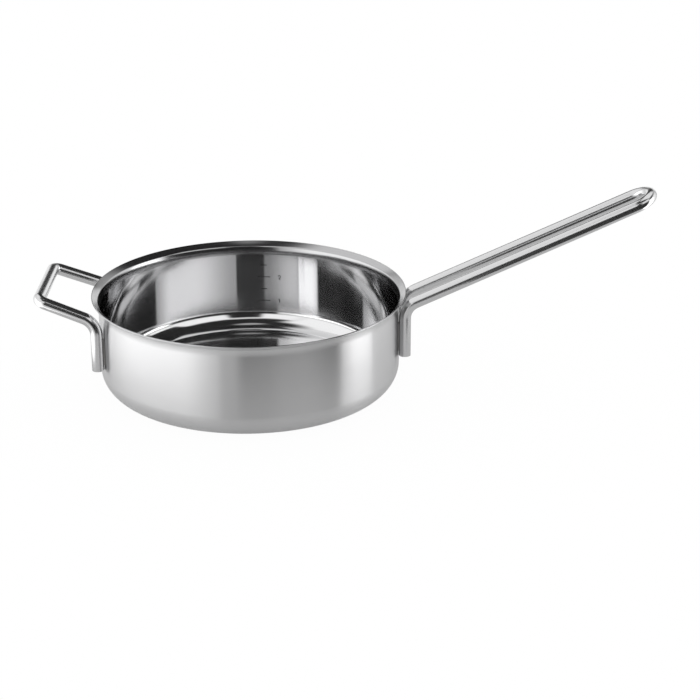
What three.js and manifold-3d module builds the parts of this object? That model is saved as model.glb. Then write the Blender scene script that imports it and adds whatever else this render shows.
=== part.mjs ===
// Saute pan, 24 cm across the bore: a drawn steel vessel with a flared pouring lip, a sandwich base of an
// aluminium core in a steel cap, and two handles bent from round steel bar and welded to the wall by their legs.
// Millimetres, +Z up. The origin is the centre of the base's underside and +X runs along the long handle.

import * as THREE from 'three';
import { mergeVertices } from 'three/addons/utils/BufferGeometryUtils.js';
import Module from 'manifold-3d';

// Vessel
const BORE_RADIUS = 120; // inside radius of the straight wall
const WALL = 1; // sheet thickness of the wall, lip and floor
const RIM_HEIGHT = 80; // top of the lip above the table
const LIP_RADIUS = 6.5; // inside radius of the quarter-round lip
const INNER_CORNER = 17.5; // radius between the wall and the floor
const OUTER_CORNER = 20.3; // radius between the wall and the underside

// Sandwich base, let into the underside so that its cap lies flush with the outer corner
const CORE_THICKNESS = 2.6; // aluminium disc that spreads the heat
const CAP_SHEET = 0.8; // steel sheet of the cap
const CAP_REACH = 3.3; // how far the cap's edge climbs onto the outer corner

// Bar that both handles are bent from
const BAR_DIAMETER = 9.7;
const LEG_BEND = 15; // centre-line radius where a leg turns outwards

// Long handle: two parallel bars that meet in a half-round end
const LONG_SPACING = 29.1; // between the two bars' axes
const LONG_TILT = 25; // degrees above the horizontal
const LONG_LENGTH = 212.5; // along the slope, from a leg's axis to the bar's axis at the tip
const LONG_LEG = 41.3; // from the bend's corner down to the foot
const LONG_LIP_CLEARANCE = 2; // between the bar and the edge of the lip

// Helper handle: a low frame that narrows a little towards its end
const HELPER_WALL_WIDTH = 88; // between the legs' axes
const HELPER_END_WIDTH = 80.6; // between the side bars' axes at the end
const HELPER_TILT = 20.3; // degrees above the horizontal
const HELPER_LENGTH = 48; // along the slope, from a leg's axis to the end bar's axis
const HELPER_LEG = 40; // from the bend's corner down to the foot
const HELPER_LIP_CLEARANCE = 5.7; // between the bar and the edge of the lip
const HELPER_CORNER = 6.5; // centre-line radius of the two end corners

// Welds between the legs and the wall
const WELD_THICKNESS = 0.6;
const WELD_WIDTH = 4;
const WELD_INSET = 4; // bare leg left above and below the weld

// Clearance between pieces that seat on each other
const SEAT_GAP = 0.3;

// Facets
const TURN_FACETS = 72; // around the pan
const CORNER_FACETS = 8; // along each corner radius
const LIP_FACETS = 6; // along the lip
const BAR_FACETS = 16; // around a bar
const BEND_FACETS = 6; // along each bend of a bar

// Sizes that follow from the ones above
const wallOuter = BORE_RADIUS + WALL;
const lipEdge = BORE_RADIUS + LIP_RADIUS;
const floorUnderside = CAP_SHEET + CORE_THICKNESS;
const floorTop = floorUnderside + WALL;
const lipUnderside = RIM_HEIGHT - WALL;
const lipStart = RIM_HEIGHT - LIP_RADIUS;
const cornerCentre = wallOuter - OUTER_CORNER;
const recessRadius = cornerCentre + CAP_REACH;
const barRadius = BAR_DIAMETER / 2;
const legRadius = wallOuter + SEAT_GAP + barRadius; // from the pan's axis to a leg's axis
const footFlat = wallOuter + SEAT_GAP + WELD_THICKNESS + SEAT_GAP; // from the pan's axis to a foot's flat

const wasm = await Module();
wasm.setup();

// Closed solid from a geometry whose vertices are shared by position alone
function solidOf(geometry) {
  const bare = geometry.clone();
  bare.deleteAttribute('normal');
  bare.deleteAttribute('uv');
  const merged = mergeVertices(bare);
  const vertProperties = new Float32Array(merged.attributes.position.array);
  const triVerts = new Uint32Array(merged.index.array);
  return new wasm.Manifold(new wasm.Mesh({ numProp: 3, vertProperties, triVerts }));
}

function geometryOf(solid) {
  const mesh = solid.getMesh();
  const geometry = new THREE.BufferGeometry();
  geometry.setAttribute('position', new THREE.BufferAttribute(mesh.vertProperties, 3));
  geometry.setIndex(new THREE.BufferAttribute(mesh.triVerts, 1));
  geometry.computeVertexNormals();
  return geometry;
}

function steel(color, roughness) {
  return new THREE.MeshStandardMaterial({ color, roughness, metalness: 1 });
}

function piece(name, geometry, material) {
  const mesh = new THREE.Mesh(geometry, material);
  mesh.name = name;
  return mesh;
}

// Points of an arc in the (radius, height) plane, angles in degrees from the outward direction
function arc(radius, height, size, from, to, facets) {
  const points = [];
  for (let i = 0; i <= facets; i += 1) {
    const angle = THREE.MathUtils.degToRad(from + ((to - from) * i) / facets);
    points.push(new THREE.Vector2(radius + size * Math.cos(angle), height + size * Math.sin(angle)));
  }
  return points;
}

// Solid of revolution about +Z from a profile of (radius, height) points
function turned(profile) {
  const geometry = new THREE.LatheGeometry(profile, TURN_FACETS);
  geometry.rotateX(Math.PI / 2);
  return geometry;
}

// Angle on the outer corner, below the horizontal, at a given radius
function cornerAngle(radius) {
  return THREE.MathUtils.radToDeg(Math.acos((radius - cornerCentre) / OUTER_CORNER));
}

// Drawn vessel: underside recess, outer corner, wall, lip, then back down the inside to the floor
function panBody() {
  const profile = [
    new THREE.Vector2(0, floorUnderside),
    new THREE.Vector2(recessRadius, floorUnderside),
    ...arc(cornerCentre, OUTER_CORNER, OUTER_CORNER, -cornerAngle(recessRadius), 0, CORNER_FACETS),
    ...arc(lipEdge, lipStart, LIP_RADIUS - WALL, 180, 90, LIP_FACETS),
    ...arc(lipEdge, lipStart, LIP_RADIUS, 90, 180, LIP_FACETS),
    ...arc(BORE_RADIUS - INNER_CORNER, floorTop + INNER_CORNER, INNER_CORNER, 0, -90, CORNER_FACETS),
    new THREE.Vector2(0, floorTop),
  ];
  return turned(profile);
}

// Heat-spreading disc that fills the cap
function heatCore() {
  const radius = recessRadius - SEAT_GAP - CAP_SHEET - SEAT_GAP;
  return turned([
    new THREE.Vector2(0, CAP_SHEET),
    new THREE.Vector2(radius, CAP_SHEET),
    new THREE.Vector2(radius, floorUnderside),
    new THREE.Vector2(0, floorUnderside),
  ]);
}

// Shallow steel tray around the core, its outer edge following the vessel's outer corner
function baseCap() {
  const radius = recessRadius - SEAT_GAP;
  return turned([
    new THREE.Vector2(0, 0),
    ...arc(cornerCentre, OUTER_CORNER, OUTER_CORNER, -90, -cornerAngle(radius), CORNER_FACETS / 2),
    new THREE.Vector2(radius, floorUnderside),
    new THREE.Vector2(radius - CAP_SHEET, floorUnderside),
    new THREE.Vector2(radius - CAP_SHEET, CAP_SHEET),
    new THREE.Vector2(0, CAP_SHEET),
  ]);
}

// Centre line of a bent bar: straight runs through the given corners, each rounded by its own bend radius.
// Its parameter steps evenly from station to station, so that a bend has facets and a straight run has none.
class BentBar extends THREE.Curve {
  constructor(corners, bends) {
    super();
    this.stations = [];
    const last = corners.length - 1;
    const heading = (i) => corners[i + 1].clone().sub(corners[i]).normalize();
    this.addStation(corners[0], heading(0));
    for (let i = 1; i < last; i += 1) {
      this.addBend(corners[i], heading(i - 1), heading(i), bends[i - 1]);
    }
    this.addStation(corners[last], heading(last - 1));
  }

  addStation(point, tangent) {
    const previous = this.stations.at(-1);
    if (previous && previous.point.distanceTo(point) < 1e-6) return;
    this.stations.push({ point, tangent });
  }

  addBend(corner, incoming, outgoing, radius) {
    const turn = incoming.angleTo(outgoing);
    const axis = incoming.clone().cross(outgoing).normalize();
    const start = corner.clone().addScaledVector(incoming, -radius * Math.tan(turn / 2));
    const centre = start.clone().addScaledVector(axis.clone().cross(incoming), radius);
    for (let k = 0; k <= BEND_FACETS; k += 1) {
      const angle = (turn * k) / BEND_FACETS;
      const point = start.clone().sub(centre).applyAxisAngle(axis, angle).add(centre);
      this.addStation(point, incoming.clone().applyAxisAngle(axis, angle));
    }
  }

  get steps() {
    return this.stations.length - 1;
  }

  between(t, key, target) {
    const place = THREE.MathUtils.clamp(t, 0, 1) * this.steps;
    const i = Math.min(Math.floor(place), this.steps - 1);
    return target.lerpVectors(this.stations[i][key], this.stations[i + 1][key], place - i);
  }

  getPoint(t, target = new THREE.Vector3()) {
    return this.between(t, 'point', target);
  }

  getTangent(t, target = new THREE.Vector3()) {
    return this.between(t, 'tangent', target).normalize();
  }

  getUtoTmapping(u) {
    return u;
  }
}

// Round bar swept along a centre line
function barAlong(path) {
  const outline = [];
  for (let i = 0; i < BAR_FACETS; i += 1) {
    const angle = (2 * Math.PI * (i + 0.5)) / BAR_FACETS;
    outline.push(new THREE.Vector2(barRadius * Math.cos(angle), barRadius * Math.sin(angle)));
  }
  const section = new THREE.Shape(outline);
  return new THREE.ExtrudeGeometry(section, { steps: path.steps, bevelEnabled: false, extrudePath: path });
}

// Where a handle's legs stand and how it leaves the lip: side is +1 on the +X side of the pan and -1 on the other
function handleLayout(side, legWidth, tilt, clearance, legLength) {
  const slope = THREE.MathUtils.degToRad(tilt);
  const half = legWidth / 2;
  const legX = Math.sqrt(legRadius ** 2 - half ** 2);
  const edgeX = Math.sqrt(lipEdge ** 2 - half ** 2);
  const drop = (barRadius + clearance) / Math.cos(slope);
  const cornerZ = lipUnderside - drop - (edgeX - legX) * Math.tan(slope);
  const straightLeg = legLength - LEG_BEND * Math.tan((Math.PI / 2 - slope) / 2);
  return { side, half, slope, legX, cornerZ, footZ: cornerZ - legLength, straightLeg };
}

// Corners of one handle's centre line, from the front foot round its end to the back foot
function handleCorners(layout, length, endHalf) {
  const { side, half, slope, legX, cornerZ, footZ } = layout;
  const endX = legX + length * Math.cos(slope);
  const endZ = cornerZ + length * Math.sin(slope);
  const front = [
    new THREE.Vector3(side * legX, -half, footZ),
    new THREE.Vector3(side * legX, -half, cornerZ),
    new THREE.Vector3(side * endX, -endHalf, endZ),
  ];
  const back = front.map((corner) => new THREE.Vector3(corner.x, -corner.y, corner.z));
  return [...front, ...back.reverse()];
}

// Direction from the pan's axis to a leg, as an angle about +Z
function legAzimuth(layout, back) {
  return Math.atan2(back * layout.half, layout.side * layout.legX);
}

// Bar with a flat on each foot, where it faces the wall
function handle(layout, length, endWidth, endBend) {
  const path = new BentBar(handleCorners(layout, length, endWidth / 2), [LEG_BEND, endBend, endBend, LEG_BEND]);
  let solid = solidOf(barAlong(path));
  const depth = 2 * BAR_DIAMETER;
  const low = layout.footZ - BAR_DIAMETER;
  const high = layout.cornerZ;
  for (const back of [-1, 1]) {
    const cutter = new THREE.BoxGeometry(depth, 2 * BAR_DIAMETER, high - low);
    cutter.translate(footFlat - depth / 2, 0, (low + high) / 2);
    cutter.rotateZ(legAzimuth(layout, back));
    solid = solid.subtract(solidOf(cutter));
  }
  return geometryOf(solid);
}

// Weld between one leg's flat and the wall: an upright pad with round ends
function weld(layout, back) {
  const height = layout.straightLeg - 2 * WELD_INSET;
  const radius = WELD_WIDTH / 2;
  const outline = new THREE.Shape();
  outline.absarc(0, height - radius, radius, 0, Math.PI);
  outline.absarc(0, radius, radius, Math.PI, 2 * Math.PI);
  const pad = new THREE.ExtrudeGeometry(outline, { depth: WELD_THICKNESS, bevelEnabled: false, curveSegments: 4 });
  pad.rotateX(Math.PI / 2);
  pad.rotateZ(Math.PI / 2);
  pad.translate(wallOuter + SEAT_GAP, 0, layout.footZ + WELD_INSET);
  pad.rotateZ(legAzimuth(layout, back));
  return pad;
}

const satinSteel = 0xc4c4c6;
const polishedSteel = 0xd6d6d8;
const weldSteel = 0xa9a8a6;
const aluminium = 0xbfc1c4;

const longLayout = handleLayout(1, LONG_SPACING, LONG_TILT, LONG_LIP_CLEARANCE, LONG_LEG);
const helperLayout = handleLayout(-1, HELPER_WALL_WIDTH, HELPER_TILT, HELPER_LIP_CLEARANCE, HELPER_LEG);

const vessel = new THREE.Group();
vessel.add(
  piece('pan_body', panBody(), steel(satinSteel, 0.32)),
  piece('heat_core', heatCore(), steel(aluminium, 0.45)),
  piece('base_cap', baseCap(), steel(satinSteel, 0.38)),
);

const longHandle = new THREE.Group();
longHandle.add(
  piece('long_handle', handle(longLayout, LONG_LENGTH, LONG_SPACING, LONG_SPACING / 2), steel(polishedSteel, 0.18)),
  piece('long_handle_weld_front', weld(longLayout, -1), steel(weldSteel, 0.5)),
  piece('long_handle_weld_back', weld(longLayout, 1), steel(weldSteel, 0.5)),
);

const helperHandle = new THREE.Group();
helperHandle.add(
  piece('helper_handle', handle(helperLayout, HELPER_LENGTH, HELPER_END_WIDTH, HELPER_CORNER), steel(polishedSteel, 0.18)),
  piece('helper_handle_weld_front', weld(helperLayout, -1), steel(weldSteel, 0.5)),
  piece('helper_handle_weld_back', weld(helperLayout, 1), steel(weldSteel, 0.5)),
);

const pan = new THREE.Group();
pan.add(vessel, longHandle, helperHandle);

export default pan;
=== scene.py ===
"""Saute pan of 24 cm: a polished and satin steel vessel on a sandwich base, with two handles of bent bar."""

import math

import bpy
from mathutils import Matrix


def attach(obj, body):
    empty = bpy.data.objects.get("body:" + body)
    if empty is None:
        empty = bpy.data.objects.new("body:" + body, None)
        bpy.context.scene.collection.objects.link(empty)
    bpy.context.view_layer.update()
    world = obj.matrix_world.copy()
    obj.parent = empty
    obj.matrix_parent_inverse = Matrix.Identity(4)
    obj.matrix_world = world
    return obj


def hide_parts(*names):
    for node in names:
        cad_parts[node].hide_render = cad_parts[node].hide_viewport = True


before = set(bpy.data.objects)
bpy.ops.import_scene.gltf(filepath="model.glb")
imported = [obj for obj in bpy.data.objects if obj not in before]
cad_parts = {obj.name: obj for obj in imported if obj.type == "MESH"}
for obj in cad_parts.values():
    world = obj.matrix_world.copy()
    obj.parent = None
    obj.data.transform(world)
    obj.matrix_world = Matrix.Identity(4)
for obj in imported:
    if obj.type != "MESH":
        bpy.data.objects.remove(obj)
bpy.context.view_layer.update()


# Vessel
# One piece drawn from stainless sheet: floor, round corner, straight wall and flared pouring lip.
# Floor and corner are mirror polished and the wall is polished round and round. The lip is a little rougher,
# and its darker tone is painted shade that stands for the dark reflection just under the rim.
# The outside is satin brushed round and round. Sizes are in millimetres and angles in degrees.
MM = 0.001
BORE_RADIUS = 120
WALL = 1
RIM_HEIGHT = 80
OUTER_CORNER = 20.3
FLOOR_TOP = 4.4
FLOOR_UNDERSIDE = 3.4
RECESS_RADIUS = 104
RECESS_ROUND = 0.3
RECESS_FACETS = 2
CORNER_FACETS = 36
CREASE_HEIGHT = 16.8
CREASE_TURN = 17
CREASE_BEND = 1.2
CREASE_FACETS = 5
FLARE_TILT = 20
FLARE_BEND = 18
FLARE_RUN = 3.85
FLARE_FACETS_OUT = 12
FLARE_FACETS_IN = 16
LIP_RADIUS = 6.5
LIP_TILT = 50
LIP_BEND = 2.5
LIP_FACETS_OUT = 10
LIP_FACETS_IN = 14
LIP_EDGE_ROUND = 0.3
LIP_EDGE_FACETS = 5
STRAIGHT_BIT = 0.4
BEND_SLACK = 0.02
TURN_STEPS = 288
TURN_FOLD = 35
SEAM_WIDTH = 0.002
INNER_FACING = 0.2
POLISHED = (0.84, 0.84, 0.845)
POLISHED_ROUGH = (0.09, 0.12)
DRAWN = (0.7, 0.7, 0.705)
DRAWN_ROUGH = (0.05, 0.07)
# Painted shade: the inner lip's tone is darker than the wall's, for the dark reflection just under the rim.
LIP_SHADE_TONE = (0.5, 0.5, 0.505)
LIP_ROUGH = (0.15, 0.2)
POLISH_PITCH = 0.6
SATIN = (0.75, 0.75, 0.755)
SATIN_ROUGH = (0.275, 0.305)
SATIN_RELIEF = 0.001
LINE_PITCH = 0.35
LINE_REACH = 2.0
LINE_DETAIL = 3.0
LINE_BREAKUP = 0.6
PATCH_STRETCH = (1.5, 1.5, 0.02)
PATCH_DETAIL = 2.0
PATCH_TINT = 0.03
NOISE_LOW = 0.3
NOISE_HIGH = 0.7
QUARTER_TURN = 0.25


def node(tree, kind, settings=None, **inputs):
    """Adds a node, sets its options, then its inputs by name or number; a socket as a value is linked."""
    made = tree.nodes.new(kind)
    for option, value in (settings or {}).items():
        setattr(made, option, value)
    for name, value in inputs.items():
        key = int(name[1:]) if name[0] == "_" else name.replace("_", " ")
        socket = made.inputs[key]
        if isinstance(value, bpy.types.NodeSocket):
            tree.links.new(value, socket)
        else:
            socket.default_value = value
    return made


def math_of(tree, operation, first, second=0.0):
    """Output of one math node on two values or sockets."""
    return node(tree, "ShaderNodeMath", {"operation": operation}, _0=first, _1=second).outputs[0]


def vector_of(tree, operation, **inputs):
    """Output of one vector math node: a number for a length or a dot product, and a vector otherwise."""
    made = node(tree, "ShaderNodeVectorMath", {"operation": operation}, **inputs)
    return made.outputs["Value" if operation in ("LENGTH", "DOT_PRODUCT") else "Vector"]


def height_of(tree, vector):
    """Z of a vector."""
    return node(tree, "ShaderNodeSeparateXYZ", _0=vector).outputs["Z"]


def shape_tree(name, **inputs):
    """New geometry tree with a geometry input and output and named inputs of the given socket types."""
    tree = bpy.data.node_groups.new(name, "GeometryNodeTree")
    tree.interface.new_socket("Geometry", in_out="INPUT", socket_type="NodeSocketGeometry")
    tree.interface.new_socket("Geometry", in_out="OUTPUT", socket_type="NodeSocketGeometry")
    for label, kind in inputs.items():
        tree.interface.new_socket(label.replace("_", " "), in_out="INPUT", socket_type="NodeSocket" + kind)
    return tree, tree.nodes.new("NodeGroupInput").outputs


def whole_of(tree, geometry):
    """Geometry with its instances made real."""
    return node(tree, "GeometryNodeRealizeInstances", Geometry=geometry).outputs[0]


def dressed(tree, geometry, material, where=True):
    """Geometry with a material on all its faces, or on those that a mask picks."""
    return node(tree, "GeometryNodeSetMaterial", Geometry=geometry, _1=where, Material=material).outputs[0]


def smoothed(tree, mesh, fold):
    """Mesh shaded smooth over each edge that folds by less than an angle."""
    angle = node(tree, "GeometryNodeInputMeshEdgeAngle").outputs["Unsigned Angle"]
    soft = node(tree, "FunctionNodeCompare", {"operation": "LESS_THAN"}, _0=angle, _1=math.radians(fold))
    shaded = node(tree, "GeometryNodeSetShadeSmooth", {"domain": "EDGE"}, _0=mesh, _2=soft.outputs[0])
    return shaded.outputs[0]


def finish_tree(tree, geometry):
    """Ends a geometry tree with its output node."""
    tree.links.new(geometry, tree.nodes.new("NodeGroupOutput").inputs[0])
    return tree


def corner_line(name, corners, last_corners=()):
    """Line through corners of (point, bend radius, facets, thickness), broken after the last corners."""
    mesh = bpy.data.meshes.new(name)
    points = [[value * MM for value in corner[0]] for corner in corners]
    edges = [(i, i + 1) for i in range(len(points) - 1) if i not in last_corners]
    mesh.from_pydata(points, edges, [])
    layers = (("bend", "FLOAT", 1, MM), ("facets", "INT", 2, 1), ("thickness", "FLOAT", 3, 1))
    for label, kind, column, scale in layers:
        layer = mesh.attributes.new(label, kind, "POINT")
        for i, corner in enumerate(corners):
            layer.data[i].value = corner[column] * scale
    return mesh


def rounded_line(tree, geometry):
    """Curve through a corner line with every corner rounded by its own bend radius."""

    def named(label, kind):
        attribute = node(tree, "GeometryNodeInputNamedAttribute", {"data_type": kind}, Name=label)
        return attribute.outputs["Attribute"]

    line = node(tree, "GeometryNodeMeshToCurve", Mesh=geometry).outputs[0]
    width = named("thickness", "FLOAT")
    sized = node(tree, "GeometryNodeSetCurveRadius", Curve=line, Radius=width).outputs[0]
    bends = node(
        tree, "GeometryNodeFilletCurve", {"mode": "POLY"},
        Curve=sized, Count=named("facets", "INT"), Radius=named("bend", "FLOAT"),
    )
    return bends.outputs[0]


def made_by(tree, name, mesh, **values):
    """Plain mesh object that a geometry tree makes from a mesh, with the tree's inputs set by name."""
    maker = bpy.data.objects.new(name + ".maker", mesh)
    bpy.context.scene.collection.objects.link(maker)
    modifier = maker.modifiers.new("shape", "NODES")
    modifier.node_group = tree
    for item in tree.interface.items_tree:
        key = item.name.replace(" ", "_")
        if item.in_out == "INPUT" and key in values:
            modifier[item.identifier] = values[key]
    evaluated = maker.evaluated_get(bpy.context.evaluated_depsgraph_get())
    result = bpy.data.meshes.new_from_object(evaluated)
    maker.modifiers.remove(modifier)
    bpy.data.objects.remove(maker)
    result.name = name
    for slot in reversed(range(len(result.materials))):
        if result.materials[slot] is None:
            result.materials.pop(index=slot)
    piece = bpy.data.objects.new(name, result)
    bpy.context.scene.collection.objects.link(piece)
    return piece


def turned_tree():
    """Solid of revolution about +Z: a profile swept round a circle, with a material for each zone."""
    tree, given = shape_tree(
        "turned sheet", Steps="Int", Outside="Material", Inside="Material", Wall="Material", Lip="Material",
        Wall_Low="Float", Wall_High="Float",
    )
    profile = rounded_line(tree, given["Geometry"])
    ring = node(tree, "GeometryNodeCurvePrimitiveCircle", Resolution=given["Steps"], Radius=BORE_RADIUS * MM)
    upright = node(tree, "GeometryNodeSetCurveNormal", {"mode": "Z_UP"}, Curve=ring.outputs[0]).outputs[0]
    swept = node(tree, "GeometryNodeCurveToMesh", Curve=upright, Profile_Curve=profile).outputs[0]
    upward = node(tree, "GeometryNodeTransform", Geometry=swept, Rotation=(math.pi, 0, 0)).outputs[0]
    closed = node(tree, "GeometryNodeMergeByDistance", Geometry=upward, Distance=SEAM_WIDTH * MM).outputs[0]
    facing = node(tree, "GeometryNodeInputNormal").outputs[0]
    place = node(tree, "GeometryNodeInputPosition").outputs[0]
    outward = vector_of(tree, "NORMALIZE", _0=vector_of(tree, "MULTIPLY", _0=place, _1=(1, 1, 0)))
    away = vector_of(tree, "DOT_PRODUCT", _0=facing, _1=outward)
    turned_in = math_of(tree, "LESS_THAN", away, -INNER_FACING)
    turned_up = math_of(tree, "GREATER_THAN", height_of(tree, facing), INNER_FACING)
    inner = math_of(tree, "MAXIMUM", turned_in, turned_up)
    height = height_of(tree, place)
    above = math_of(tree, "GREATER_THAN", height, given["Wall Low"])
    below = math_of(tree, "LESS_THAN", height, given["Wall High"])
    wall = math_of(tree, "MULTIPLY", inner, math_of(tree, "MULTIPLY", above, below))
    lip = math_of(tree, "MULTIPLY", inner, math_of(tree, "GREATER_THAN", height, given["Wall High"]))
    sheet = whole_of(tree, smoothed(tree, closed, TURN_FOLD))
    sheet = dressed(tree, sheet, given["Outside"])
    sheet = dressed(tree, sheet, given["Inside"], inner)
    sheet = dressed(tree, sheet, given["Wall"], wall)
    sheet = dressed(tree, sheet, given["Lip"], lip)
    return finish_tree(tree, sheet)


def turned_profile(corners):
    """Corners of (radius, height, bend radius, facets) as the corner line that the turned tree sweeps."""
    return [((radius - BORE_RADIUS, height, 0), bend, facets, 1) for radius, height, bend, facets in corners]


def brushed_group():
    """Shared finish: fine lines that run round the Z axis, and slow patches along them, as two masks."""
    group = bpy.data.node_groups.new("lines round the axis", "ShaderNodeTree")
    for label in ("Line Pitch mm", "Reach"):
        group.interface.new_socket(label, in_out="INPUT", socket_type="NodeSocketFloat")
    for label in ("Lines", "Patches"):
        group.interface.new_socket(label, in_out="OUTPUT", socket_type="NodeSocketFloat")
    given = group.nodes.new("NodeGroupInput").outputs
    place = node(group, "ShaderNodeTexCoord").outputs["Object"]
    flat = vector_of(group, "MULTIPLY", _0=place, _1=(1, 1, 0))
    across = math_of(group, "ADD", vector_of(group, "LENGTH", _0=flat), height_of(group, place))
    lines = math_of(group, "DIVIDE", math_of(group, "MULTIPLY", across, 1 / MM), given["Line Pitch mm"])
    along = vector_of(group, "SCALE", _0=vector_of(group, "NORMALIZE", _0=flat), Scale=given["Reach"])
    split = node(group, "ShaderNodeSeparateXYZ", _0=along).outputs
    fine = node(group, "ShaderNodeCombineXYZ", X=split["X"], Y=split["Y"], Z=lines).outputs[0]
    slow = vector_of(group, "MULTIPLY", _0=fine, _1=PATCH_STRETCH)
    fine_noise = node(
        group, "ShaderNodeTexNoise", Vector=fine, Scale=1.0, Detail=LINE_DETAIL, Roughness=LINE_BREAKUP,
    )
    slow_noise = node(group, "ShaderNodeTexNoise", Vector=slow, Scale=1.0, Detail=PATCH_DETAIL)
    ends = group.nodes.new("NodeGroupOutput").inputs
    group.links.new(fine_noise.outputs["Fac"], ends["Lines"])
    group.links.new(slow_noise.outputs["Fac"], ends["Patches"])
    return group


round_lines = brushed_group()


def metal(name, colour, rough, relief=0.0, anisotropy=0.0, pitch=LINE_PITCH, reach=LINE_REACH):
    """Metal whose roughness follows its lines between two values, and whose lines stand up by a relief."""
    material = bpy.data.materials.new(name)
    material.use_nodes = True
    tree = material.node_tree
    shader = tree.nodes["Principled BSDF"]
    shader.inputs["Metallic"].default_value = 1.0
    shader.inputs["Anisotropic"].default_value = anisotropy
    finish = node(tree, "ShaderNodeGroup", {"node_tree": round_lines}, Line_Pitch_mm=pitch, Reach=reach)
    lines = finish.outputs["Lines"]
    patches = finish.outputs["Patches"]
    mean = math_of(tree, "MULTIPLY", math_of(tree, "ADD", lines, patches), 0.5)
    dullness = node(
        tree, "ShaderNodeMapRange", Value=mean,
        From_Min=NOISE_LOW, From_Max=NOISE_HIGH, To_Min=rough[0], To_Max=rough[1],
    )
    tree.links.new(dullness.outputs[0], shader.inputs["Roughness"])
    darker = (*[value * (1 - PATCH_TINT) for value in colour], 1)
    lighter = (*[value * (1 + PATCH_TINT) for value in colour], 1)
    tint = node(tree, "ShaderNodeMix", {"data_type": "RGBA"}, _0=patches, _6=darker, _7=lighter)
    tree.links.new(tint.outputs[2], shader.inputs["Base Color"])
    if relief:
        bump = node(tree, "ShaderNodeBump", Height=lines, Distance=relief * MM, Strength=1.0)
        tree.links.new(bump.outputs[0], shader.inputs["Normal"])
    if anisotropy:
        shader.inputs["Anisotropic Rotation"].default_value = QUARTER_TURN
        tangent = node(tree, "ShaderNodeTangent", {"direction_type": "RADIAL", "axis": "Z"})
        tree.links.new(tangent.outputs[0], shader.inputs["Tangent"])
    return material


satin_steel = metal("satin steel", SATIN, SATIN_ROUGH, relief=SATIN_RELIEF, anisotropy=1.0)
mirror_steel = metal("mirror steel", POLISHED, POLISHED_ROUGH, pitch=POLISH_PITCH)
wall_steel = metal("polished wall steel", DRAWN, DRAWN_ROUGH, anisotropy=1.0, pitch=POLISH_PITCH)
# The lip's darker tone is painted shade that stands for the dark reflection under the rim; its roughness is
# its own.
lip_shaded_steel = metal("lip steel with painted shade", LIP_SHADE_TONE, LIP_ROUGH, pitch=POLISH_PITCH)
turned = turned_tree()

wall_outside = BORE_RADIUS + WALL
corner_centre = wall_outside - OUTER_CORNER
recess_reach = RECESS_RADIUS - corner_centre
recess_edge_height = OUTER_CORNER - math.sqrt(OUTER_CORNER**2 - recess_reach**2)
corner_turn = math.acos(recess_reach / OUTER_CORNER)
corner_point_height = OUTER_CORNER - OUTER_CORNER * math.tan(corner_turn / 2)
flare = math.radians(FLARE_TILT)
cone = math.radians(LIP_TILT)
lip_top = BORE_RADIUS + LIP_RADIUS - WALL * math.cos(cone)
knee = BORE_RADIUS + FLARE_RUN * math.sin(flare)
knee_height = RIM_HEIGHT - (lip_top - knee) / math.tan(cone)
knee_offset = WALL / math.cos((cone - flare) / 2)
knee_turn = (cone + flare) / 2
knee_outside = knee + knee_offset * math.cos(knee_turn)
knee_outside_height = knee_height - knee_offset * math.sin(knee_turn)
flare_height = knee_height - FLARE_RUN * math.cos(flare)
flare_outside_height = flare_height - WALL * math.tan(flare / 2)
flare_foot = flare_height - FLARE_BEND * math.tan(flare / 2) - STRAIGHT_BIT
crease = math.radians(CREASE_TURN)
crease_rise = CREASE_HEIGHT - FLOOR_TOP
corner_point = BORE_RADIUS - crease_rise * math.tan(crease)
corner_length = crease_rise / math.cos(crease) - CREASE_BEND * math.tan(crease / 2) - BEND_SLACK
corner_bend = corner_length / math.tan((math.pi / 2 - crease) / 2)
vessel_corners = turned_profile([
    (0, FLOOR_UNDERSIDE, 0, 1),
    (RECESS_RADIUS, FLOOR_UNDERSIDE, RECESS_ROUND, RECESS_FACETS),
    (RECESS_RADIUS, recess_edge_height, 0, 1),
    (wall_outside, corner_point_height, OUTER_CORNER - BEND_SLACK, CORNER_FACETS),
    (wall_outside, OUTER_CORNER + STRAIGHT_BIT, 0, 1),
    (wall_outside, flare_foot, 0, 1),
    (wall_outside, flare_outside_height, FLARE_BEND - WALL, FLARE_FACETS_OUT),
    (knee_outside, knee_outside_height, LIP_BEND - WALL, LIP_FACETS_OUT),
    (BORE_RADIUS + LIP_RADIUS, RIM_HEIGHT - WALL * math.sin(cone), LIP_EDGE_ROUND, LIP_EDGE_FACETS),
    (lip_top, RIM_HEIGHT, LIP_EDGE_ROUND, LIP_EDGE_FACETS),
    (knee, knee_height, LIP_BEND, LIP_FACETS_IN),
    (BORE_RADIUS, flare_height, FLARE_BEND, FLARE_FACETS_IN),
    (BORE_RADIUS, flare_foot, 0, 1),
    (BORE_RADIUS, CREASE_HEIGHT + CREASE_BEND, 0, 1),
    (BORE_RADIUS, CREASE_HEIGHT, CREASE_BEND, CREASE_FACETS),
    (corner_point, FLOOR_TOP, corner_bend, CORNER_FACETS),
    (corner_point - corner_length - STRAIGHT_BIT, FLOOR_TOP, 0, 1),
    (0, FLOOR_TOP, 0, 1),
])
vessel = made_by(
    turned, "vessel_shell", corner_line("vessel profile", vessel_corners),
    Steps=TURN_STEPS, Outside=satin_steel, Inside=mirror_steel, Wall=wall_steel, Lip=lip_shaded_steel,
    Wall_Low=(CREASE_HEIGHT + CREASE_BEND / 2) * MM, Wall_High=flare_foot * MM,
)
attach(vessel, "root")
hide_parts("pan_body")


# Heat core
# Disc of plain rolled aluminium under the vessel's floor, which spreads the heat.
# It is bonded to the floor and sealed in by the base cap, so nothing of it shows.
ALUMINIUM = (0.74, 0.75, 0.76)
ROLLED_ROUGH = (0.4, 0.52)
ROLLED_RELIEF = 0.004
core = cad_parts["heat_core"]
core.data.materials.clear()
core.data.materials.append(metal("rolled aluminium", ALUMINIUM, ROLLED_ROUGH, relief=ROLLED_RELIEF))


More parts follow.
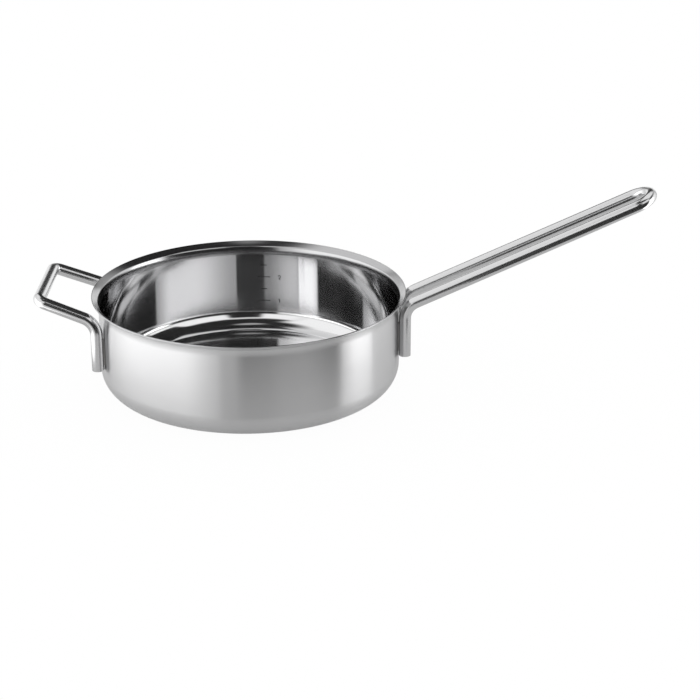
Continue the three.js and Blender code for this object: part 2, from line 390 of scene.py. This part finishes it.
# Base cap
# Shallow tray of magnetic steel pressed over the core, flush with the vessel's outer corner.
# Its underside is turned in fine rings and is the face that the pan stands on.
CAP_SHEET = 0.8
CAP_GAP = 0.3
CAP_SEAT = 0.05
CAP_FLANK_WIDTH = 0.5
CAP_FLANK_SHARE = 0.72
CAP_EDGE_ROUND = 0.12
CAP_RIM_ROUND = 0.2
CAP_INNER_ROUND = 0.3
CAP_FACETS = 3
CAP_INNER_FACETS = 4
BASE_STEEL = (0.58, 0.58, 0.585)
RING_ROUGH = (0.28, 0.42)
RING_RELIEF = 0.012
RING_STRETCH = 0.6
RING_PITCH = 0.8
RING_REACH = 0.6
base_steel = metal(
    "turned base steel", BASE_STEEL, RING_ROUGH,
    relief=RING_RELIEF, anisotropy=RING_STRETCH, pitch=RING_PITCH, reach=RING_REACH,
)
cap_radius = RECESS_RADIUS - CAP_GAP
cap_inside = cap_radius - CAP_SHEET
cap_top = FLOOR_UNDERSIDE - CAP_SEAT
cap_edge_height = OUTER_CORNER - math.sqrt(OUTER_CORNER**2 - (cap_radius - corner_centre) ** 2)
cap_corners = turned_profile([
    (0, 0, 0, 1),
    (corner_centre, 0, 0, 1),
    (cap_radius - CAP_FLANK_WIDTH, cap_edge_height * CAP_FLANK_SHARE, 0, 1),
    (cap_radius, cap_edge_height + CAP_SEAT, CAP_EDGE_ROUND, CAP_FACETS),
    (cap_radius, cap_top, CAP_RIM_ROUND, CAP_FACETS),
    (cap_inside, cap_top, CAP_RIM_ROUND, CAP_FACETS),
    (cap_inside, CAP_SHEET, CAP_INNER_ROUND, CAP_INNER_FACETS),
    (0, CAP_SHEET, 0, 1),
])
cap = made_by(
    turned, "base_cap_turned", corner_line("cap profile", cap_corners),
    Steps=TURN_STEPS, Outside=base_steel, Inside=base_steel, Wall=base_steel, Lip=base_steel,
)
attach(cap, "root")
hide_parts("base_cap")


# Long handle
# One length of round stainless bar: two legs, two parallel runs and a half-round end.
# The feet are rounded off, and each leg stands upright against the wall, where it is welded.
BAR_DIAMETER = 9.7
BAR_SIDES = 64
BAR_FOLD = 50
LEG_GAP = 0.3
LEG_BEND = 15
BEND_FACETS = 28
FOOT_ROUND = 2.0
FOOT_STEPS = 4
LONG_SPACING = 29.1
LONG_TILT = 25
LONG_LENGTH = 212.5
LONG_LEG = 41.3
LONG_LIP_CLEARANCE = 2
LOOP_SLACK = 0.01
BAR_STEEL = (0.7, 0.7, 0.705)
BAR_ROUGH = (0.16, 0.2)
BAR_PITCH = 30
BAR_REACH = 6
leg_radius = wall_outside + LEG_GAP + BAR_DIAMETER / 2


def bent_bar_tree():
    """Round bar swept along a corner line, closed at both ends."""
    tree, given = shape_tree("bent bar", Radius="Float", Sides="Int", Material="Material")
    path = rounded_line(tree, given["Geometry"])
    section = node(
        tree, "GeometryNodeCurvePrimitiveCircle", Resolution=given["Sides"], Radius=given["Radius"],
    ).outputs[0]
    bar = node(tree, "GeometryNodeCurveToMesh", Curve=path, Profile_Curve=section, Fill_Caps=True).outputs[0]
    whole = whole_of(tree, smoothed(tree, bar, BAR_FOLD))
    return finish_tree(tree, dressed(tree, whole, given["Material"]))


def handle_corners(side, leg_width, end_width, tilt, length, leg, lip_clearance, end_bend):
    """Corner line of a handle from the front foot round its end to the back foot, on the +X or -X side."""
    slope = math.radians(tilt)
    half = leg_width / 2
    leg_x = math.sqrt(leg_radius**2 - half**2)
    edge_x = math.sqrt((BORE_RADIUS + LIP_RADIUS) ** 2 - half**2)
    drop = (BAR_DIAMETER / 2 + lip_clearance) / math.cos(slope)
    corner_z = RIM_HEIGHT - WALL - drop - (edge_x - leg_x) * math.tan(slope)
    foot_z = corner_z - leg
    end_x = leg_x + length * math.cos(slope)
    end_z = corner_z + length * math.sin(slope)
    front = []
    for step in range(FOOT_STEPS + 1):
        turn = math.pi / 2 * step / FOOT_STEPS
        width = 1 - FOOT_ROUND * (1 - math.sin(turn)) / (BAR_DIAMETER / 2)
        height = foot_z + FOOT_ROUND * (1 - math.cos(turn))
        front.append(((side * leg_x, -half, height), 0, 1, width))
    front.append(((side * leg_x, -half, corner_z), LEG_BEND, BEND_FACETS, 1))
    front.append(((side * end_x, -end_width / 2, end_z), end_bend, BEND_FACETS, 1))
    back = [((x, -y, z), bend, facets, width) for (x, y, z), bend, facets, width in reversed(front)]
    return front + back


bar_steel = metal("polished bar steel", BAR_STEEL, BAR_ROUGH, pitch=BAR_PITCH, reach=BAR_REACH)
bent_bar = bent_bar_tree()
long_corners = handle_corners(
    1, LONG_SPACING, LONG_SPACING, LONG_TILT, LONG_LENGTH, LONG_LEG, LONG_LIP_CLEARANCE,
    LONG_SPACING / 2 - LOOP_SLACK,
)
long_handle = made_by(
    bent_bar, "long_handle_bar", corner_line("long handle path", long_corners),
    Radius=BAR_DIAMETER / 2 * MM, Sides=BAR_SIDES, Material=bar_steel,
)
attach(long_handle, "root")
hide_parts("long_handle")


# Helper handle
# The same bar bent into a low frame opposite the long handle, a little narrower at its end.
# Its two legs stand against the wall and are welded there in the same way.
HELPER_WALL_WIDTH = 88
HELPER_END_WIDTH = 80.6
HELPER_TILT = 20.3
HELPER_LENGTH = 48
HELPER_LEG = 40
HELPER_LIP_CLEARANCE = 5.7
HELPER_CORNER = 6.5
helper_corners = handle_corners(
    -1, HELPER_WALL_WIDTH, HELPER_END_WIDTH, HELPER_TILT, HELPER_LENGTH, HELPER_LEG, HELPER_LIP_CLEARANCE,
    HELPER_CORNER,
)
helper_handle = made_by(
    bent_bar, "helper_handle_bar", corner_line("helper handle path", helper_corners),
    Radius=BAR_DIAMETER / 2 * MM, Sides=BAR_SIDES, Material=bar_steel,
)
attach(helper_handle, "root")
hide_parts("helper_handle")


# Welds
# Weld metal run up the line where each leg meets the wall, cleaned but left with its ripples.
# It lies in the narrow gap behind the leg and holds that handle.
WELD_WIDTH = 4
WELD_DEPTH = 1.5
WELD_INSET = 4
WELD_RIPPLE = 1.3
WELD_RIPPLE_LOW = 0.84
WELD_STEPS = 120
WELD_SIDES = 24
WELD_END_WIDTH = 0.08
WELD_END_POWER = 12.0
WELD_STEEL = (0.5, 0.49, 0.48)
WELD_ROUGH = (0.38, 0.55)
WELD_RELIEF = 0.01
WELD_PITCH = 0.9


def weld_tree():
    """Bead along a leg: a flattened tube with ripples and tapered ends, stood up and turned to the leg."""
    tree, given = shape_tree(
        "weld bead", Length="Float", Ripple="Float", Width="Float", Depth="Float", Place="Vector",
        Azimuth="Float", Material="Material",
    )
    end = node(tree, "ShaderNodeCombineXYZ", X=given["Length"]).outputs[0]
    line = node(tree, "GeometryNodeCurvePrimitiveLine", Start=(0, 0, 0), End=end).outputs[0]
    points = node(tree, "GeometryNodeResampleCurve", Curve=line, Count=WELD_STEPS).outputs[0]
    along = node(tree, "GeometryNodeSplineParameter").outputs
    wave = math_of(tree, "FRACT", math_of(tree, "DIVIDE", along["Length"], given["Ripple"]))
    ripple = node(tree, "ShaderNodeMapRange", Value=wave, To_Min=1.0, To_Max=WELD_RIPPLE_LOW).outputs[0]
    middle = math_of(tree, "SUBTRACT", math_of(tree, "MULTIPLY", along["Factor"], 2.0), 1.0)
    falloff = math_of(tree, "POWER", math_of(tree, "MULTIPLY", middle, middle), WELD_END_POWER)
    taper = math_of(tree, "MAXIMUM", math_of(tree, "SUBTRACT", 1.0, falloff), WELD_END_WIDTH)
    swell = math_of(tree, "MULTIPLY", ripple, math_of(tree, "POWER", taper, 0.5))
    sized = node(tree, "GeometryNodeSetCurveRadius", Curve=points, Radius=swell).outputs[0]
    circle = node(tree, "GeometryNodeCurvePrimitiveCircle", Resolution=WELD_SIDES, Radius=0.5).outputs[0]
    spread = node(tree, "ShaderNodeCombineXYZ", X=given["Width"], Y=given["Depth"], Z=1.0).outputs[0]
    section = node(tree, "GeometryNodeTransform", Geometry=circle, Scale=spread).outputs[0]
    bead = node(tree, "GeometryNodeCurveToMesh", Curve=sized, Profile_Curve=section, Fill_Caps=True)
    smooth = node(tree, "GeometryNodeSetShadeSmooth", _0=bead.outputs[0]).outputs[0]
    upright = node(tree, "GeometryNodeTransform", Geometry=smooth, Rotation=(0, -math.pi / 2, 0)).outputs[0]
    turn = node(tree, "ShaderNodeCombineXYZ", Z=given["Azimuth"]).outputs[0]
    seated = node(tree, "GeometryNodeTransform", Geometry=upright, Translation=given["Place"], Rotation=turn)
    whole = whole_of(tree, seated.outputs[0])
    return finish_tree(tree, dressed(tree, whole, given["Material"]))


weld_steel = metal("weld steel", WELD_STEEL, WELD_ROUGH, relief=WELD_RELIEF, pitch=WELD_PITCH)
weld_bead = weld_tree()
weld_radius = wall_outside + LEG_GAP / 2
welded_handles = (
    ("long_handle", long_corners, LONG_TILT),
    ("helper_handle", helper_corners, HELPER_TILT),
)
for handle_name, corners, tilt in welded_handles:
    leg_x, leg_y, foot_z = corners[0][0]
    bend_z = corners[FOOT_STEPS + 1][0][2]
    straight = bend_z - LEG_BEND * math.tan(math.radians(90 - tilt) / 2) - foot_z
    for end_name, across in (("front", leg_y), ("back", -leg_y)):
        azimuth = math.atan2(across, leg_x)
        weld_x = weld_radius * math.cos(azimuth)
        weld_y = weld_radius * math.sin(azimuth)
        weld = made_by(
            weld_bead, handle_name + "_bead_" + end_name, bpy.data.meshes.new("weld"),
            Length=(straight - 2 * WELD_INSET) * MM, Ripple=WELD_RIPPLE * MM, Width=WELD_WIDTH * MM,
            Depth=WELD_DEPTH * MM, Place=(weld_x * MM, weld_y * MM, (foot_z + WELD_INSET) * MM),
            Azimuth=azimuth, Material=weld_steel,
        )
        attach(weld, "root")
        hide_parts(handle_name + "_weld_" + end_name)


# Volume marks
# Scale etched into the polished wall across from the cook, dark and dull.
# Each litre has a long line with its number, and each half litre a short line.
MARK_COUNT = 4
MARK_FIRST = 27.1
MARK_STEP = 10.77
MARK_LONG = 10.8
MARK_SHORT = 5.2
MARK_MIDDLE = 5.0
MARK_LINE = 0.7
MARK_DEPTH = 0.04
MARK_PARTS = 13
NUMBER_MIDDLE = 18.5
NUMBER_HEIGHT = 3.3
NUMBER_WIDTH = 1.9
NUMBER_LINE = 0.62
ONE_FLAG_WIDTH = 0.4
ONE_FLAG_HEIGHT = 0.76
ONE_BEND = 0.1
TWO_START = 0.68
TWO_WAIST = 0.5
TWO_WAIST_BEND = 0.68
TWO_FOOT_BEND = 0.34
ETCH = (0.045, 0.045, 0.047)
ETCH_SPREAD = 0.4
ETCH_GRAIN = 2500.0
ETCH_DETAIL = 2.0
ETCH_ROUGH = 0.75
ETCH_METAL = 0.3


def marks_tree():
    """Lines and number strokes laid out flat up a wall, then wrapped round the inside of the bore."""
    tree, given = shape_tree("volume marks", Radius="Float", Material="Material")
    heights = node(
        tree, "GeometryNodeMeshLine", Count=MARK_COUNT, Start_Location=(MARK_MIDDLE * MM, 0, MARK_FIRST * MM),
        Offset=(0, 0, MARK_STEP * MM),
    ).outputs[0]
    stroke_size = (MARK_LONG * MM, MARK_DEPTH * MM, MARK_LINE * MM)
    stroke = node(tree, "GeometryNodeMeshCube", Size=stroke_size, Vertices_X=MARK_PARTS).outputs[0]
    half = math_of(tree, "MODULO", node(tree, "GeometryNodeInputIndex").outputs[0], 2.0)
    length = node(tree, "ShaderNodeMapRange", Value=half, To_Min=1.0, To_Max=MARK_SHORT / MARK_LONG)
    stretch = node(tree, "ShaderNodeCombineXYZ", X=length.outputs[0], Y=1.0, Z=1.0).outputs[0]
    lines = node(tree, "GeometryNodeInstanceOnPoints", Points=heights, Instance=stroke, Scale=stretch)
    path = rounded_line(tree, given["Geometry"])
    level = node(tree, "GeometryNodeSetCurveNormal", {"mode": "Z_UP"}, Curve=path).outputs[0]
    pen = node(
        tree, "GeometryNodeCurvePrimitiveQuadrilateral", Width=NUMBER_LINE * MM, Height=MARK_DEPTH * MM,
    ).outputs[0]
    numbers = node(tree, "GeometryNodeCurveToMesh", Curve=level, Profile_Curve=pen, Fill_Caps=True).outputs[0]
    stood = node(tree, "GeometryNodeTransform", Geometry=numbers, Rotation=(math.pi / 2, 0, 0))
    joined = node(tree, "GeometryNodeJoinGeometry")
    for shape in (lines, stood):
        tree.links.new(shape.outputs[0], joined.inputs[0])
    flat = whole_of(tree, joined.outputs[0])
    place = node(tree, "ShaderNodeSeparateXYZ", _0=node(tree, "GeometryNodeInputPosition").outputs[0]).outputs
    angle = math_of(tree, "DIVIDE", place["X"], given["Radius"])
    depth = math_of(tree, "ADD", given["Radius"], place["Y"])
    across = math_of(tree, "MULTIPLY", depth, math_of(tree, "SINE", angle))
    away = math_of(tree, "MULTIPLY", depth, math_of(tree, "COSINE", angle))
    wrapped = node(tree, "ShaderNodeCombineXYZ", X=across, Y=away, Z=place["Z"]).outputs[0]
    bent = node(tree, "GeometryNodeSetPosition", Geometry=flat, Position=wrapped).outputs[0]
    return finish_tree(tree, dressed(tree, bent, given["Material"]))


etch = bpy.data.materials.new("etched mark")
etch.use_nodes = True
etch_tree = etch.node_tree
etch_shader = etch_tree.nodes["Principled BSDF"]
etch_shader.inputs["Roughness"].default_value = ETCH_ROUGH
etch_shader.inputs["Metallic"].default_value = ETCH_METAL
etch_place = node(etch_tree, "ShaderNodeTexCoord").outputs["Object"]
etch_grain = node(etch_tree, "ShaderNodeTexNoise", Vector=etch_place, Scale=ETCH_GRAIN, Detail=ETCH_DETAIL)
etch_dark = (*[value * (1 - ETCH_SPREAD) for value in ETCH], 1)
etch_light = (*[value * (1 + ETCH_SPREAD) for value in ETCH], 1)
etch_tone = node(
    etch_tree, "ShaderNodeMix", {"data_type": "RGBA"},
    _0=etch_grain.outputs["Fac"], _6=etch_dark, _7=etch_light,
)
etch_tree.links.new(etch_tone.outputs[2], etch_shader.inputs["Base Color"])

number_left = NUMBER_MIDDLE - NUMBER_WIDTH / 2
number_right = NUMBER_MIDDLE + NUMBER_WIDTH / 2
one_foot = MARK_FIRST - NUMBER_HEIGHT / 2
one_top = one_foot + NUMBER_HEIGHT
one_flag = NUMBER_MIDDLE - NUMBER_WIDTH * ONE_FLAG_WIDTH
two_foot = one_foot + 2 * MARK_STEP
two_top = two_foot + NUMBER_HEIGHT
two_bowl = NUMBER_WIDTH / 2 - LOOP_SLACK
one_corners = [
    ((one_flag, one_foot + NUMBER_HEIGHT * ONE_FLAG_HEIGHT, 0), 0, 1, 1),
    ((NUMBER_MIDDLE, one_top, 0), ONE_BEND, 4, 1),
    ((NUMBER_MIDDLE, one_foot, 0), 0, 1, 1),
]
two_corners = [
    ((number_left, two_foot + NUMBER_HEIGHT * TWO_START, 0), 0, 1, 1),
    ((number_left, two_top, 0), two_bowl, 12, 1),
    ((number_right, two_top, 0), two_bowl, 12, 1),
    ((number_right, two_foot + NUMBER_HEIGHT * TWO_WAIST, 0), TWO_WAIST_BEND, 8, 1),
    ((number_left, two_foot, 0), TWO_FOOT_BEND, 6, 1),
    ((number_right, two_foot, 0), 0, 1, 1),
]
number_strokes = corner_line(
    "number strokes", one_corners + two_corners, last_corners=(len(one_corners) - 1,),
)
marks = made_by(
    marks_tree(), "volume_marks", number_strokes, Radius=(BORE_RADIUS - MARK_DEPTH) * MM, Material=etch,
)
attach(marks, "root")


# Studio
# Camera at the photograph's angle, over a pale matt floor in a room with soft panels of light.
# Two cards that only reflections show stand by the long handle. Places are in metres.
EYE = (0.0990, -1.4848, 0.6164)
LOOK_DOWN = 21.61
LOOK_LEFT = 0.69
FOCAL_PIXELS = 1962.4
FRAME_PIXELS = 700
FILM_WIDTH = 36
camera = bpy.data.objects.new("camera", bpy.data.cameras.new("camera"))
bpy.context.scene.collection.objects.link(camera)
camera.location = EYE
camera.rotation_euler = (math.radians(90 - LOOK_DOWN), 0, math.radians(LOOK_LEFT))
camera.data.sensor_width = FILM_WIDTH
camera.data.lens = FOCAL_PIXELS / FRAME_PIXELS * FILM_WIDTH
bpy.context.scene.camera = camera
bpy.context.scene.view_settings.view_transform = "Standard"

# The floor is white to the camera but for the pan's shadow. Polished steel shows half of it as an even grey,
# and from below it is clear, so that the base can be seen.
FLOOR_RADIUS = 0.3
FLOOR_MIDDLE = 0.08
FLOOR_DROP = 0.0002
FLOOR_SIDES = 96
FLOOR_TONE = 0.68
FLOOR_LIFT = 0.95
FLOOR_MIRRORED = 0.55
FLOOR_EVEN = 0.5
floor_white = (1 - (1 - FLOOR_LIFT) * FLOOR_TONE) / FLOOR_LIFT
floor_rim = []
for side in range(FLOOR_SIDES):
    floor_turn = 2 * math.pi * side / FLOOR_SIDES
    floor_x = FLOOR_MIDDLE + FLOOR_RADIUS * math.cos(floor_turn)
    floor_rim.append((floor_x, FLOOR_RADIUS * math.sin(floor_turn), -FLOOR_DROP))
floor_mesh = bpy.data.meshes.new("floor")
floor_mesh.from_pydata(floor_rim, [], [tuple(range(FLOOR_SIDES))])
floor = bpy.data.objects.new("floor", floor_mesh)
bpy.context.scene.collection.objects.link(floor)
pale = bpy.data.materials.new("pale floor")
pale.use_nodes = True
pale_tree = pale.node_tree
pale_tree.nodes.clear()
seen = node(pale_tree, "ShaderNodeLightPath").outputs
matt = node(pale_tree, "ShaderNodeBsdfDiffuse", Color=(FLOOR_TONE, FLOOR_TONE, FLOOR_TONE, 1)).outputs[0]
glow = node(pale_tree, "ShaderNodeMix", _0=seen["Is Glossy Ray"], _2=floor_white, _3=FLOOR_MIRRORED)
white = node(pale_tree, "ShaderNodeEmission", Color=(1, 1, 1, 1), Strength=glow.outputs[0]).outputs[0]
direct = math_of(pale_tree, "MAXIMUM", seen["Is Camera Ray"], seen["Is Transmission Ray"])
lift = math_of(pale_tree, "MULTIPLY", direct, FLOOR_LIFT)
even = math_of(pale_tree, "MULTIPLY", seen["Is Glossy Ray"], FLOOR_EVEN)
share = math_of(pale_tree, "MAXIMUM", lift, even)
floor_top = node(pale_tree, "ShaderNodeMixShader", _0=share, _1=matt, _2=white).outputs[0]
clear = node(pale_tree, "ShaderNodeBsdfTransparent").outputs[0]
from_below = node(pale_tree, "ShaderNodeNewGeometry").outputs["Backfacing"]
floor_mix = node(pale_tree, "ShaderNodeMixShader", _0=from_below, _1=floor_top, _2=clear).outputs[0]
pale_tree.links.new(floor_mix, pale_tree.nodes.new("ShaderNodeOutputMaterial").inputs["Surface"])
floor_mesh.materials.append(pale)

# Cards as (name, glow, left and front, right and back, height): a dark one, a painted shadow of the pan, that
# lies beside the long handle and draws the dark reflection under its bars, and a white one high above the
# handle's end.
CARDS = (
    # The dark card is a painted shadow: it lies on the floor where the pan's shadow falls under the handle.
    ("painted shadow card", 0.0, (0.2, -0.45), (0.5, -0.12), 0.0005),
    ("white card", 0.95, (0.29, -0.03), (0.43, 0.16), 0.3),
)
# Base tone of both cards; on the dark card it is the painted shadow's tone.
CARD_TONE = 0.03
CARD_ROUGH = 0.9
for card_name, card_glow, (left, front), (right, back), height in CARDS:
    card_corners = ((left, front), (right, front), (right, back), (left, back))
    card_mesh = bpy.data.meshes.new(card_name)
    card_mesh.from_pydata([(x, y, height) for x, y in card_corners], [], [(0, 1, 2, 3)])
    card = bpy.data.objects.new(card_name, card_mesh)
    bpy.context.scene.collection.objects.link(card)
    card.visible_camera = False
    card.visible_diffuse = False
    card.visible_shadow = False
    card_paint = bpy.data.materials.new(card_name)
    card_paint.use_nodes = True
    paint = card_paint.node_tree.nodes["Principled BSDF"].inputs
    paint["Base Color"].default_value = (CARD_TONE, CARD_TONE, CARD_TONE, 1)
    paint["Roughness"].default_value = CARD_ROUGH
    paint["Emission Color"].default_value = (1, 1, 1, 1)
    paint["Emission Strength"].default_value = card_glow
    card_mesh.materials.append(card_paint)

# Soft panels of the room by direction, in degrees round to the right of the camera's side and above the
# horizon: (left, right, width of the left edge, of the right edge, low, top full, top dark, brightness).
PANELS = (
    (-158, -17, 3, 4, -50, 21, 27, 0.72),
    (-158, -17, 70, 32, -50, 21, 27, 0.96),
    (-165, -35, 15, 15, 24, 62, 74, 1.0),
    (-48, -4, 13, 6, 24, 50, 57, 1.0),
    (20, 76, 6, 4, 24, 50, 57, 1.0),
    (-10, 26, 6, 6, 46, 52, 58, 0.9),
    (71, 107, 4, 4, -50, 21, 30, 1.65),
    (71, 107, 12, 4, -50, 21, 30, 0.7),
    (104, 162, 4, 5, -50, 24, 40, 0.4),
    (104, 162, 4, 50, -50, 24, 40, 0.75),
    (-190, 190, 5, 5, -100, -50, -28, 0.65),
    (152, 190, 8, 5, -60, 13, 17, 1.0),
    (-190, -152, 5, 8, -60, 13, 17, 1.0),
    (-22, -1, 5, 8, -50, -8, 0, 0.6),
    (71, 107, 4, 4, -50, 7, 13, 0.6),
    (-190, 190, 5, 5, 82, 91, 92, 0.4),
)
PANEL_FOOT = 5
ROOM = 0.02
PLAIN_LIGHT = 1.0
BACKDROP = 1.0
DEGREES = 180 / math.pi
world = bpy.data.worlds.new("studio")
bpy.context.scene.world = world
world.use_nodes = True
room = world.node_tree
room.nodes.clear()
direction = node(room, "ShaderNodeTexCoord").outputs["Generated"]
heading = node(room, "ShaderNodeSeparateXYZ", _0=direction).outputs
to_camera = math_of(room, "MULTIPLY", heading["Y"], -1.0)
round_right = math_of(room, "MULTIPLY", math_of(room, "ARCTAN2", heading["X"], to_camera), DEGREES)
upwards = math_of(room, "MULTIPLY", math_of(room, "ARCSINE", heading["Z"]), DEGREES)


def ramp(value, start, end):
    """Smooth step from 0 at start to 1 at end."""
    return node(
        room, "ShaderNodeMapRange", {"interpolation_type": "SMOOTHSTEP"},
        Value=value, From_Min=start, From_Max=end,
    ).outputs[0]


total = ROOM
for left, right, left_edge, right_edge, low, top_full, top_dark, brightness in PANELS:
    from_left = ramp(round_right, left, left + left_edge)
    from_right = ramp(round_right, right, right - right_edge)
    wide = math_of(room, "MULTIPLY", from_left, from_right)
    tall = math_of(room, "MULTIPLY", ramp(upwards, low, low + PANEL_FOOT), ramp(upwards, top_dark, top_full))
    panel = math_of(room, "MULTIPLY", math_of(room, "MULTIPLY", wide, tall), brightness)
    total = math_of(room, "ADD", total, panel)
rays = node(room, "ShaderNodeLightPath").outputs
shown = node(room, "ShaderNodeMix", _0=rays["Is Glossy Ray"], _2=PLAIN_LIGHT, _3=total).outputs[0]
background = math_of(room, "MAXIMUM", rays["Is Camera Ray"], rays["Is Transmission Ray"])
strength = node(room, "ShaderNodeMix", _0=background, _2=shown, _3=BACKDROP).outputs[0]
light = node(room, "ShaderNodeBackground", Color=(1, 1, 1, 1), Strength=strength).outputs[0]
room.links.new(light, room.nodes.new("ShaderNodeOutputWorld").inputs["Surface"])
